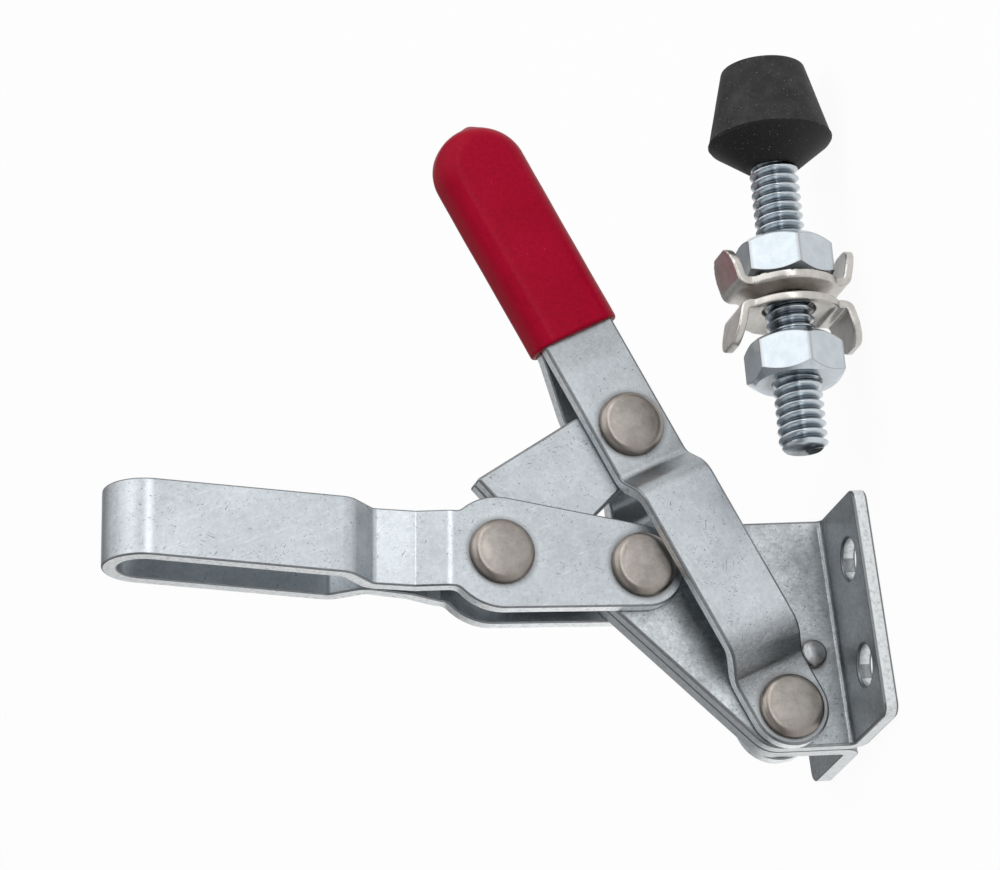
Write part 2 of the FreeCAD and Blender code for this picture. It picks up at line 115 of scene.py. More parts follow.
class Value:
    """A number socket that can be used in arithmetic."""

    def __init__(self, tree: "Tree", socket: NodeSocket) -> None:
        """Wraps an output socket of a tree."""
        self.tree = tree
        self.socket = socket

    __add__ = __radd__ = math_method("ADD")
    __sub__ = math_method("SUBTRACT")
    __rsub__ = math_method("SUBTRACT", reflected=True)
    __mul__ = __rmul__ = math_method("MULTIPLY")
    __truediv__ = math_method("DIVIDE")
    __rtruediv__ = math_method("DIVIDE", reflected=True)
    __abs__ = math_method("ABSOLUTE")
    least = math_method("MINIMUM")
    most = math_method("MAXIMUM")
    fraction = math_method("FRACT")
    root = math_method("SQRT")

    def ramp(self, low: float, high: float) -> "Value":
        """A smooth step from 0 at low to 1 at high."""
        return self.tree.value("ShaderNodeMapRange", {"interpolation_type": "SMOOTHSTEP"},
                               {"Value": self, "From Min": low, "From Max": high})


Number = Value | float


class Tree:
    """A node tree under construction, for a material, a world or geometry."""

    def __init__(self, nodes: NodeTree) -> None:
        """Empties a node tree and takes it over."""
        self.data = nodes
        nodes.nodes.clear()

    def node(self, kind: str, settings: dict[str, object] | None = None,
             sockets: dict[str | int, object] | None = None) -> Node:
        """Adds a node.

        Args:
            kind: The node's type.
            settings: Its properties, set before its sockets.
            sockets: Numbers, colours, values, outputs, or nodes that stand for their first
                output, for its inputs of that name or index.

        Returns:
            The node.
        """
        made = self.data.nodes.new(kind)
        for key, setting in (settings or {}).items():
            setattr(made, key, setting)
        for key, given in (sockets or {}).items():
            socket = (made.inputs[key] if isinstance(key, int)
                      else next(s for s in made.inputs if s.name == key and s.enabled))
            if isinstance(given, Value):
                given = given.socket
            elif isinstance(given, Node):
                given = given.outputs[0]
            if isinstance(given, NodeSocket):
                self.data.links.new(given, socket)
            else:
                socket.default_value = given
        return made

    def value(self, kind: str, *given: dict[str | int, object], output: int | str = 0) -> Value:
        """Adds a node and wraps one of its outputs."""
        return Value(self, self.node(kind, *given).outputs[output])

    def math(self, operation: str, *terms: Number) -> Value:
        """A Math node on values and numbers."""
        return self.value("ShaderNodeMath", {"operation": operation}, dict(enumerate(terms)))

    def split(self, vector: Node | NodeSocket) -> list[Value]:
        """The three numbers of a vector."""
        parts = self.node("ShaderNodeSeparateXYZ", {}, {0: vector})
        return [Value(self, part) for part in parts.outputs]

    def close(self, output: str, share: Value, low: Node, high: Node) -> None:
        """Ends the tree with a mix of two shaders.

        Args:
            output: The type of its output node.
            share: How much of the second shader is in the mix.
            low: The first shader.
            high: The second shader.
        """
        mixed = self.node("ShaderNodeMixShader", {}, {0: share, 1: low, 2: high})
        self.node(output, {}, {"Surface": mixed})

    def rays(self) -> tuple[Value, Value]:
        """Whether a ray comes from the camera, and whether from a shiny or clear surface.

        Returns:
            Both as 0 or 1.
        """
        path = self.node("ShaderNodeLightPath").outputs
        camera, glossy, through = (Value(self, path[f"Is {kind} Ray"])
                                   for kind in ("Camera", "Glossy", "Transmission"))
        return camera, glossy.most(through)


@dataclass(frozen=True)
class Grain:
    """A noise pattern: the size of its features, its octaves of finer noise and their strength.

    Its levels, if it has them, are the noise that becomes 0 and the noise that becomes 1.
    """

    size: float
    detail: float = 3.0
    rough: float = 0.5
    levels: tuple[float, float] | None = None


class Paint(Tree):
    """A material under construction, with its patterns on Object coordinates."""

    def __init__(self, name: str) -> None:
        """Starts a material.

        Args:
            name: The material's name.
        """
        self.material = bpy.data.materials.new(name)
        self.material.use_nodes = True
        super().__init__(self.material.node_tree)
        self.place = self.node("ShaderNodeTexCoord").outputs["Object"]

    def placed(self, turn: Sequence[float] = (0, 0, 0),
               stretch: Sequence[float] = (1, 1, 1)) -> Node:
        """Object coordinates in millimetres, turned about and stretched along each axis.

        Args:
            turn: The rotation about X, Y and Z.
            stretch: How long a feature becomes along each axis.

        Returns:
            The node that gives them.
        """
        return self.node("ShaderNodeMapping", {"vector_type": "TEXTURE"},
                         {"Vector": self.place, "Rotation": [math.radians(a) for a in turn],
                          "Scale": [MM * s for s in stretch]})

    def noise(self, grain: Grain, where: Node | None = None) -> Value:
        """A noise pattern from 0 to 1.

        Args:
            grain: The pattern.
            where: Coordinates in millimetres, if not the plain ones.

        Returns:
            The noise, stepped between the pattern's levels if it has them.
        """
        made = self.value("ShaderNodeTexNoise", {},
                          {"Vector": where or self.placed(), "Scale": 1 / grain.size,
                           "Detail": grain.detail, "Roughness": grain.rough})
        return made.ramp(*grain.levels) if grain.levels else made

    def mix(self, factor: Number, low: object, high: object) -> NodeSocket:
        """A colour between two.

        Args:
            factor: 0 gives low and 1 gives high.
            low: A colour or a colour output.
            high: A colour or a colour output.

        Returns:
            The colour output.
        """
        low, high = ((*c, 1.0) if isinstance(c, tuple) else c for c in (low, high))
        made = self.node("ShaderNodeMix", {"data_type": "RGBA"},
                         {"Factor": factor, "A": low, "B": high})
        return next(s for s in made.outputs if s.enabled)

    def attribute(self, name: str) -> Value:
        """A number stored on the piece's own mesh."""
        return self.value("ShaderNodeAttribute", {"attribute_name": name}, output="Fac")

    def finish(self, heights: Iterable[tuple[Value, float]], **sockets: object) -> Material:
        """Closes the material with one Principled shader.

        Args:
            heights: Height patterns and how deep each is.
            **sockets: What the shader's sockets get, with underscores for spaces.

        Returns:
            The material.
        """
        normal: dict[str, Node] = {}
        for height, depth in heights:
            bump = self.node("ShaderNodeBump", {}, {"Height": height, "Distance": depth * MM,
                                                    "Strength": 1.0, **normal})
            normal = {"Normal": bump}
        given = {key.replace("_", " "): value for key, value in sockets.items()}
        shader = self.node("ShaderNodeBsdfPrincipled", {}, {**given, **normal})
        self.node("ShaderNodeOutputMaterial", {}, {"Surface": shader})
        return self.material


# ---- finishes


@dataclass(frozen=True)
class WearAndShadeBand:
    """A band across a sheet painted darker, at a jog, a fold, a bend or the grip's mouth: partly
    rub wear, partly painted shade.

    Its middle is measured from its root (x, z), on a way turned from +X towards +Z.
    """

    root: Point
    turn: float
    middle: float
    half: float
    depth: float
    full_share: float = 0.35        # of the half that is darkened to the full depth

    def darkening(self, x: Value, z: Value) -> Value:
        """How much rub wear and painted shade a place of the sheet gets.

        Args:
            x: Where it is along X.
            z: Where it is along Z.

        Returns:
            The depth in the band's middle, fading to 0.
        """
        turn = math.radians(self.turn)
        along = (x - self.root[0]) * math.cos(turn) + (z - self.root[1]) * math.sin(turn)
        away = abs(along - self.middle)
        return (1.0 - away.ramp(self.half * self.full_share, self.half)) * self.depth


@dataclass(frozen=True)
class Scratches:
    """Hairlines that run one way, turned from the way that the sheet was rolled.

    They are so much longer than wide, and show where the noise is above the level "rare".
    """

    turn: float
    length: float
    rare: float
    width: float = 0.13
    soft: float = 0.035

    def shown(self, tree: Paint, roll_turn: float) -> Value:
        """1 on a scratch and 0 off it, on a sheet that was rolled a given way."""
        where = tree.placed((0, roll_turn + self.turn, 0), (self.length, 1, 1))
        return tree.noise(Grain(self.width, 1.0, 0.4, (self.rare, self.rare + self.soft)), where)


@dataclass(frozen=True)
class ZincSheet:
    """Zinc-plated sheet steel: frosted, softly mottled, with specks and scratches, bands of rub
    wear and painted shade, painted shade on eased edges, and grime and painted shade round rivets.
    """

    pale: Colour = (0.585, 0.625, 0.655)
    deep: Colour = (0.425, 0.455, 0.480)
    speck: Colour = (0.10, 0.10, 0.105)
    cut_pale: Colour = (0.88, 0.90, 0.91)
    cut_deep: Colour = (0.44, 0.46, 0.47)
    # near black: painted shade on eased edges and in the bands
    shade_and_wear_dark: Colour = (0.15, 0.155, 0.16)
    grime_and_shade: Colour = (0.15, 0.145, 0.14)
    rough_low: float = 0.27
    rough_high: float = 0.42
    speck_rough: float = 0.2
    cloud: Grain = Grain(7.0, 4.0, 0.6)
    coarse: Grain = Grain(0.8, 3.0, 0.6)
    frost: Grain = Grain(0.38, 5.0, 0.72)
    rolled: Grain = Grain(0.30, 3.0, 0.6)
    roll_stretch: float = 7.0
    patches: Grain = Grain(2.1, 2.0, 0.5)
    specks: Grain = Grain(0.24, 2.0, 0.6, (0.640, 0.70))
    speck_depth: float = 0.85
    dark_lines: tuple[Scratches, Scratches] = (Scratches(52, 12, 0.72), Scratches(-31, 18, 0.73))
    dark_depth: float = 0.75
    bright_lines: Scratches = Scratches(12, 30, 0.70)
    bright_depth: float = 0.30
    chips: Grain = Grain(0.55, 2.0, 0.7, (0.70, 0.735))
    chip_depth: float = 0.60
    flecks: Grain = Grain(0.26, 4.0, 0.75, (0.36, 0.66))
    sheared: Grain = Grain(0.4, 4.0, 0.7)
    ring_width: float = 1.0

    def round_rivets(self, x: Value, z: Value, rivets: Sequence[Point], head: float
                     ) -> Number:
        """Grime and painted contact shade on the sheet round the heads of rivets.

        Args:
            x: Where a place of the sheet is along X.
            z: Where it is along Z.
            rivets: The places (x, z) of their axes.
            head: The radius of a head.

        Returns:
            1 beside a head, fading to 0.
        """
        near: Number = 0.0
        for rivet_x, rivet_z in rivets:
            across, up = x - rivet_x, z - rivet_z
            away = (across * across + up * up).root()
            near = (1.0 - away.ramp(head, head + self.ring_width)).most(near)
        return near

    def paint(self, name: str, roll_turn: float, rivets: Sequence[Point] = (),
              bands: Sequence[WearAndShadeBand] = (), head: float = 4.1) -> Material:
        """Makes the material.

        Args:
            name: The material's name.
            roll_turn: The way the sheet was rolled, about Y from +X.
            rivets: The places (x, z) of the rivets through it.
            bands: Its bands of rub wear and painted shade.
            head: The radius of the rivets' heads.

        Returns:
            The material.
        """
        tree = Paint(name)
        x, _, z = tree.split(tree.placed())
        cloud, coarse, frost, patches = (
            tree.noise(grain) for grain in (self.cloud, self.coarse, self.frost, self.patches))
        along = tree.placed((0, roll_turn, 0), (self.roll_stretch, 1, 1))
        rolled = tree.noise(self.rolled, along)
        tone = (cloud * 0.36 + coarse * 0.22 + frost * 0.32 + rolled * 0.10).ramp(0.34, 0.66)
        colour = tree.mix(tone, self.deep, self.pale)
        bright_marks = self.bright_lines.shown(tree, roll_turn)
        colour = tree.mix(bright_marks * self.bright_depth, colour, self.cut_pale)
        specks = tree.noise(self.specks) * patches.ramp(0.40, 0.56)
        first, second = (lines.shown(tree, roll_turn) for lines in self.dark_lines)
        dark_marks = first.most(second) * patches.ramp(0.42, 0.62)
        chips = tree.noise(self.chips) * self.chip_depth
        dark = (specks * self.speck_depth).most(dark_marks * self.dark_depth).most(chips)
        colour = tree.mix(dark, colour, self.speck)
        if bands:
            # bands of rub wear and painted shade, mottled by flecks
            flecks = tree.noise(self.flecks, tree.placed((0, roll_turn, 0), (1, 1, 2)))
            darkening: Number = 0.0
            for band in bands:
                darkening = band.darkening(x, z).most(darkening)
            colour = tree.mix(darkening * (flecks * 0.35 + 0.65), colour, self.shade_and_wear_dark)
        if rivets:
            # grime and painted contact shade round the rivet heads
            grime_and_shade_ring = self.round_rivets(x, z, rivets, head) * (frost * 0.7 + 0.3)
            colour = tree.mix(grime_and_shade_ring, colour, self.grime_and_shade)
        # painted shade: eased edges are coloured near black
        colour = tree.mix(tree.attribute("edge") * (coarse * 0.5 + 0.50), colour,
                          self.shade_and_wear_dark)
        sheared = tree.noise(self.sheared, tree.placed((0, 0, 0), (1.6, 0.5, 1.6)))
        cut = tree.attribute("cut")
        colour = tree.mix(cut, colour, tree.mix(sheared.ramp(0.28, 0.56), self.cut_deep,
                                                self.cut_pale))
        rough = (frost * (self.rough_high - self.rough_low) + self.rough_low
                 + specks * self.speck_rough)
        return tree.finish([(frost, 0.006), (rolled, 0.003), (sheared * cut, 0.012)],
                           Base_Color=colour, Metallic=1.0, Roughness=rough)


@dataclass(frozen=True)
class SatinMetal:
    """Satin metal on turned or pressed pieces, with a softly tarnished rim."""

    face: Colour
    shade: Colour
    rough: float
    grain: float
    rim_tarnish: float = 0.0
    valley: Colour | None = None
    tarnish: Colour = (0.20, 0.16, 0.13)
    cloud: Grain = Grain(1.6, 4.0, 0.6)

    def paint(self, name: str) -> Material:
        """Makes the material, darker at the rims, with painted shade in the thread's valleys.

        Args:
            name: The material's name.

        Returns:
            The material.
        """
        tree = Paint(name)
        cloud, fine = tree.noise(self.cloud), tree.noise(Grain(self.grain, 4.0, 0.7))
        tone = (cloud * 0.7 + fine * 0.3).ramp(0.35, 0.66)
        colour = tree.mix(tone, self.shade, self.face)
        rough = fine * 0.16 + (self.rough - 0.08)
        if self.rim_tarnish:
            rim = tree.attribute("rim") * (cloud * 0.6 + 0.55)
            colour = tree.mix((rim * self.rim_tarnish).least(1.0), colour, self.tarnish)
        # painted shade: the thread's valleys are coloured dark
        if self.valley:
            colour = tree.mix(tree.attribute("valley") * 0.9, colour, self.valley)
        return tree.finish([(fine, 0.006), (cloud, 0.02)],
                           Base_Color=colour, Metallic=1.0, Roughness=rough)


@dataclass(frozen=True)
class DippedVinyl:
    """Satin dip-moulded vinyl with a fine grain, painted shade on its flanks and a few dust specks.
    """

    colour: Colour = (0.375, 0.0008, 0.024)
    deep: Colour = (0.285, 0.0005, 0.014)
    # painted shade: a deeper colour for the flanks, which turn away from Y
    flank: Colour = (0.205, 0.0003, 0.009)
    dusty: Colour = (0.60, 0.16, 0.18)
    rough: float = 0.34
    gloss: float = 0.07
    cloud: Grain = Grain(7.0)
    grain: Grain = Grain(0.15, 3.0, 0.6)
    coarse: Grain = Grain(0.45, 4.0, 0.75, (0.36, 0.64))
    dust: Grain = Grain(0.20, 1.0, 0.5, (0.76, 0.80))

    def paint(self, name: str) -> Material:
        """Makes the material.

        Args:
            name: The material's name.

        Returns:
            The material.
        """
        tree = Paint(name)
        cloud, grain, coarse, dust = (
            tree.noise(grain) for grain in (self.cloud, self.grain, self.coarse, self.dust))
        mottle = cloud.ramp(0.3, 0.7) * 0.35 + coarse * 0.65
        colour = tree.mix(mottle, self.deep, self.colour)
        # painted shade: the flanks are coloured deeper
        colour = tree.mix(tree.attribute("flank") * 0.75, colour, self.flank)
        colour = tree.mix(dust * 0.3, colour, self.dusty)
        rough = grain * 0.10 + (self.rough - 0.05) + dust * 0.2
        return tree.finish([(grain, 0.008), (cloud, 0.03)], Base_Color=colour, Roughness=rough,
                           IOR=1.5, Specular_IOR_Level=self.gloss)


@dataclass(frozen=True)
class MouldedRubber:
    """Matt black rubber with a fine grain, dust and pale scuffs, cleaner where it is inset."""

    colour: Colour = (0.006, 0.006, 0.006)
    scuffed: Colour = (0.036, 0.034, 0.034)
    dusty: Colour = (0.30, 0.30, 0.31)
    rough: float = 0.62
    gloss: float = 0.30
    cloud: Grain = Grain(2.4, 4.0, 0.6)
    grain: Grain = Grain(0.14, 3.0, 0.7)
    dust: Grain = Grain(0.20, 1.0, 0.5, (0.70, 0.76))

    def paint(self, name: str) -> Material:
        """Makes the material.

        Args:
            name: The material's name.

        Returns:
            The material.
        """
        tree = Paint(name)
        cloud, grain, dust = (tree.noise(grain) for grain in (self.cloud, self.grain, self.dust))
        clean = 1.0 - tree.attribute("rim") * 0.85
        scuffs = (cloud.ramp(0.35, 0.75) * 0.7 + grain * 0.25) * clean
        colour = tree.mix(scuffs, self.colour, self.scuffed)
        colour = tree.mix(dust * 0.55, colour, self.dusty)
        rough = grain * 0.2 + (self.rough - 0.1)
        return tree.finish([(grain, 0.014), (cloud, 0.05)], Base_Color=colour, Roughness=rough,
                           IOR=1.5, Specular_IOR_Level=self.gloss)


# ---- mesh helpers


def wrap(name: str, data: ID) -> Object:
    """Puts a mesh, a lamp or a camera into the scene as an object at the origin.

    Args:
        name: The object's name.
        data: What it shows.

    Returns:
        The object.
    """
    made = bpy.data.objects.new(name, data)
    bpy.context.scene.collection.objects.link(made)
    return made


def baked(made: Object) -> Object:
    """Applies a piece's modifiers.

    Args:
        made: The piece.

    Returns:
        The same piece as a plain mesh.
    """
    graph = bpy.context.evaluated_depsgraph_get()
    mesh = bpy.data.meshes.new_from_object(made.evaluated_get(graph), depsgraph=graph,
                                           preserve_all_data_layers=True)
    made.modifiers.clear()
    made.data = mesh
    return made


def smooth(mesh: Mesh, angle: float) -> None:
    """Shades a mesh smooth, apart from edges sharper than an angle."""
    mesh.shade_smooth()
    mesh.set_sharp_from_angle(angle=math.radians(angle))


@contextmanager
def edited(mesh: Mesh, sources: Iterable[Mesh], weld: float) -> Iterator[BMesh]:
    """Opens meshes for work as one.

    Args:
        mesh: The mesh that gets the result.
        sources: The meshes.
        weld: The distance below which points become one, or 0 to keep them all.

    Yields:
        The mesh to work on.
    """
    shape = bmesh.new()
    for source in sources:
        shape.from_mesh(source)
    if weld:
        bmesh.ops.remove_doubles(shape, verts=shape.verts, dist=weld * MM)
    yield shape
    shape.to_mesh(mesh)
    shape.free()


def join_outward(mesh: Mesh, weld: float, *more: Mesh) -> None:
    """Joins meshes to a mesh, welded, with all its faces turned outward."""
    with edited(mesh, (mesh, *more), weld) as shape:
        bmesh.ops.recalc_face_normals(shape, faces=shape.faces)


def arc(centre: Point, radius: float, start: float, end: float, steps: int) -> list[Point]:
    """Points on an arc from a start angle to an end angle, both ends included."""
    angles = [math.radians(start + (end - start) * i / steps) for i in range(steps + 1)]
    return [(centre[0] + radius * math.cos(a), centre[1] + radius * math.sin(a)) for a in angles]


def between(start: Point, end: Point, shares: Sequence[float]) -> list[Point]:
    """Points on the straight line between two, at given shares of its length."""
    return [(start[0] + (end[0] - start[0]) * share, start[1] + (end[1] - start[1]) * share)
            for share in shares]


def heading(start: Point, end: Point) -> float:
    """The angle, from +X towards +Z, of the way from one place (x, z) to another."""
    return math.degrees(math.atan2(end[1] - start[1], end[0] - start[0]))


class Workshop:
    """Makes finished pieces and hands them to the frame."""

    flat_angle = 0.6        # faces that differ by less are joined
    sharp_angle = 28        # edges sharper than this are eased
    turned_angle = 50       # edges of a turned piece sharper than this stay sharp
    sheet_angle = 40        # and edges of a sheet piece

    def __init__(self, frame: dict[str, object]) -> None:
        """Takes the loaded frame.
        """
        self.nodes: dict[str, Object] = frame["nodes"]
        self.record: dict[str, object] = frame["record"]
        self.joints = {j["name"]: j for j in frame["joints"]}
        self.body_of = {node: body for body, nodes in self.record["behaviour"]["bodies"].items()
                        for node in nodes}

    def softened(self, node: str, name: str, edge: float,
                 is_cut: Callable[[Vector, Vector], bool]) -> Object:
        """A copy of a CAD node with its sharp edges eased.

        Its faces are marked "edge" where they are an eased edge and "cut" where the sheet was
        sheared.

        Args:
            node: The CAD node.
            name: The new piece's name.
            edge: How wide the eased edge is.
            is_cut: Whether a face of a given centre in millimetres and normal is a sheared one.

        Returns:
            The piece.
        """
        mesh = bpy.data.meshes.new(name)
        with edited(mesh, [self.nodes[node].data], CAD_WELD) as shape:
            bmesh.ops.dissolve_limit(shape, angle_limit=math.radians(self.flat_angle),
                                     verts=shape.verts, edges=shape.edges,
                                     use_dissolve_boundaries=False)
            eased, cut = (shape.faces.layers.float.new(n) for n in ("edge", "cut"))
            for face in shape.faces:
                face[cut] = float(is_cut(face.calc_center_median() / MM, face.normal))
            limit = math.radians(self.sharp_angle)
            sharp = [e for e in shape.edges
                     if len(e.link_faces) == 2 and e.calc_face_angle(0.0) > limit]
            bevel = bmesh.ops.bevel(shape, geom=sharp, offset=edge * MM, offset_type="OFFSET",
                                    segments=3, profile=0.5, affect="EDGES",
                                    clamp_overlap=True)
            for face in bevel["faces"]:
                face[eased], face[cut] = 1.0, 0.0
        smooth(mesh, self.sheet_angle)
        made = wrap(name, mesh)
        made.modifiers.new("weigh", "WEIGHTED_NORMAL").keep_sharp = True
        return baked(made)

    def rounded(self, node: str, name: str, voxel: float, rounds: int) -> Object:
        """A fine even copy of a CAD node with all its edges rounded.

        Args:
            node: The CAD node.
            name: The new piece's name.
            voxel: How fine it is.
            rounds: How many times it is smoothed.

        Returns:
            The piece.
        """
        mesh = bpy.data.meshes.new(name)
        with edited(mesh, [self.nodes[node].data], CAD_WELD):
            made = wrap(name, mesh)
        remesh = made.modifiers.new("remesh", "REMESH")
        remesh.mode = "VOXEL"
        remesh.voxel_size = voxel * MM
        made.modifiers.new("ease", "SMOOTH").iterations = rounds
        baked(made).data.shade_smooth()
        return made

    def rings(self, name: str, rows: Sequence[Sequence[RimPoint]], place: Matrix, weld: float,
              sharp: float, closed: bool = False) -> Object:
        """A piece of rings round an axis, with each point's nearness to a rim stored as "rim".

        Args:
            name: The piece's name.
            rows: Its rings, all with as many points.
            place: The matrix that brings the local X axis to where the piece is, in metres.
            weld: The distance below which points become one, or 0 to keep them all.
            sharp: The angle above which an edge stays sharp.
            closed: Whether the last ring joins the first.

        Returns:
            The piece.
        """
        count, steps, points = len(rows), len(rows[0]), []
        for row in rows:
            for i, (along, radius, _) in enumerate(row):
                angle = math.tau * i / steps
                points.append(place @ Vector((along * MM, radius * math.cos(angle) * MM,
                                              radius * math.sin(angle) * MM)))
        faces = [(j * steps + i, j * steps + (i + 1) % steps,
                  (j + 1) % count * steps + (i + 1) % steps, (j + 1) % count * steps + i)
                 for j in range(count if closed else count - 1) for i in range(steps)]
        mesh = bpy.data.meshes.new(name)
        mesh.from_pydata(points, [], faces)
        near = [rim for row in rows for _, _, rim in row]
        mesh.attributes.new("rim", "FLOAT", "POINT").data.foreach_set("value", near)
        join_outward(mesh, weld)
        smooth(mesh, sharp)
        return wrap(name, mesh)

    def lathe(self, name: str, profile: Sequence[RimPoint], steps: int, place: Matrix,
              jitter: Callable[[float, float], float] | None = None) -> Object:
        """A turned piece.

        Args:
            name: The piece's name.
            profile: Its outline, end to end.
            steps: How many sides it has round its axis.
            place: The matrix that brings the local X axis to where the piece is, in metres.
            jitter: What is added to the radius, given the place along the axis and the angle.

        Returns:
            The piece.
        """
        rows = []
        for along, radius, rim in profile:
            strays = [jitter(along, math.tau * i / steps) if jitter and radius > 0 else 0.0
                      for i in range(steps)]
            rows.append([(along, radius + stray, rim) for stray in strays])
        return self.rings(name, rows, place, TURNED_WELD, self.turned_angle)

    def hand_over(self, made: Object, material: Material, slot: Slot, *replaced: str) -> None:
        """Dresses a piece, rides it on the body of the nodes it replaces, and reports it.

        Args:
            made: The finished piece.
            material: Its material.
            slot: The record's slot for its finish; not used.
            *replaced: The CAD nodes that it stands for.
        """
        made.data.materials.clear()
        made.data.materials.append(material)
        body = self.body_of[replaced[0]]
        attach(made, body)
        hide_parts(*replaced)
        LOG.info("%s rides on %s, %d faces", made.name, body, len(made.data.polygons))


# ---- sheet pieces


@dataclass
class SheetWork:
    """The folded and pressed sheet pieces, with eased edges painted dark and bands of rub wear and
    painted shade.
    """

    shop: Workshop
    edge: float = 0.34
    flange_top: float = 2.3
    flange_reach: float = 14.4
    side_limit: float = 0.1         # faces whose normal is less along Y are sheared
    end_limit: float = 0.3          # and, on a flange, faces whose normal is more along X
    bend_limit: float = 0.7         # bent faces have a normal more along the arm
    loop_from: float = 40.0
    # middle, half and depth of the bands of rub wear and painted shade at the jogs and the grip's
    # mouth, and at the loop's end
    jog_wear_and_shade_bands: tuple[Place, ...] = ((6.9, 5.2, 0.82), (34.4, 4.2, 0.36), (54.0, 4.4, 0.34))
    loop_wear_and_shade_band: Place = (68.9, 3.0, 0.47)
    # painted shade over the flange's top, along the fold
    fold_shade: WearAndShadeBand = WearAndShadeBand((0.0, 0.0), 90, 1.0, 3.4, 0.76)
    level_roll: float = 90
    upright_roll: float = 97
    link_roll: float = 50
    stop_head: float = 1.7

    def pivot(self, name: str) -> Point:
        """The place (x, z) of a joint's axis."""
        x, _, z = self.shop.joints[name]["pos_m"]
        return (x / MM, z / MM)

    def rivet(self, node: str) -> Point:
        """The place (x, z) of a rivet's axis."""
        low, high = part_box(node)
        return ((low.x + high.x) / 2 / MM, (low.z + high.z) / 2 / MM)

    def base_cut(self, centre: Vector, normal: Vector) -> bool:
        """Whether a face of a base plate is a sheared one."""
        rim = abs(normal.x) > self.end_limit or abs(centre.y) > self.flange_reach
        return rim if centre.z < self.flange_top else self.flat_cut(centre, normal)

    def flat_cut(self, _: Vector, normal: Vector) -> bool:
        """Whether a face of a flat or jogged plate is a sheared one."""
        return abs(normal.y) < self.side_limit

    def arm_cut(self, centre: Vector, normal: Vector) -> bool:
        """Whether a face of the arm is a sheared one: not the bent end of its loop.

        Args:
            centre: The face's centre.
            normal: The face's normal.

        Returns:
            Whether it is.
        """
        start, end = Vector(self.rivet("arm_pivot_rivet")), Vector(self.rivet("link_arm_rivet"))
        along = (end - start).normalized()
        flat = Vector((normal.x, normal.z))
        beyond = (Vector((centre.x, centre.z)) - start).dot(along) > self.loop_from
        bent = beyond and abs(flat.dot(along)) > self.bend_limit
        return self.flat_cut(centre, normal) and not bent

    def build(self) -> None:
        """Builds the plates and strips and dresses them."""
        arm_base, link_arm = self.rivet("arm_pivot_rivet"), self.rivet("link_arm_rivet")
        handle_base, handle_link = self.pivot("handle_pivot"), self.pivot("link_pivot")
        turn = heading(handle_base, handle_link)
        jog_wear_and_shade = [WearAndShadeBand(handle_base, turn, *band) for band in self.jog_wear_and_shade_bands]
        loop_wear_and_shade = WearAndShadeBand(arm_base, heading(arm_base, link_arm), *self.loop_wear_and_shade_band)
        finish = ZincSheet()
        dull = ZincSheet((0.74, 0.775, 0.80), (0.345, 0.37, 0.39),
                         cut_pale=(0.68, 0.70, 0.71), cut_deep=(0.42, 0.44, 0.45))
        level = dull.paint("zinc_sheet_base", self.level_roll, (self.rivet("stop_rivet"),),
                           (self.fold_shade,), self.stop_head)
        upright = finish.paint("zinc_sheet_arm", self.upright_roll, (arm_base, link_arm), (loop_wear_and_shade,))
        sloped = finish.paint("zinc_sheet_handle", -turn, (handle_base, handle_link), jog_wear_and_shade)
        linked = finish.paint("zinc_sheet_link", self.link_roll)
        for node, material, is_cut in (
                ("base_plate_left", level, self.base_cut),
                ("base_plate_right", level, self.base_cut), ("arm", upright, self.arm_cut),
                ("link_plate_left", linked, self.flat_cut),
                ("link_plate_right", linked, self.flat_cut),
                ("handle_plate_left", sloped, self.flat_cut),
                ("handle_plate_right", sloped, self.flat_cut)):
            made = self.shop.softened(node, node + "_sheet", self.edge, is_cut)
            self.shop.hand_over(made, material, Slot.ZINC_SHEET, node)


# ---- rivets


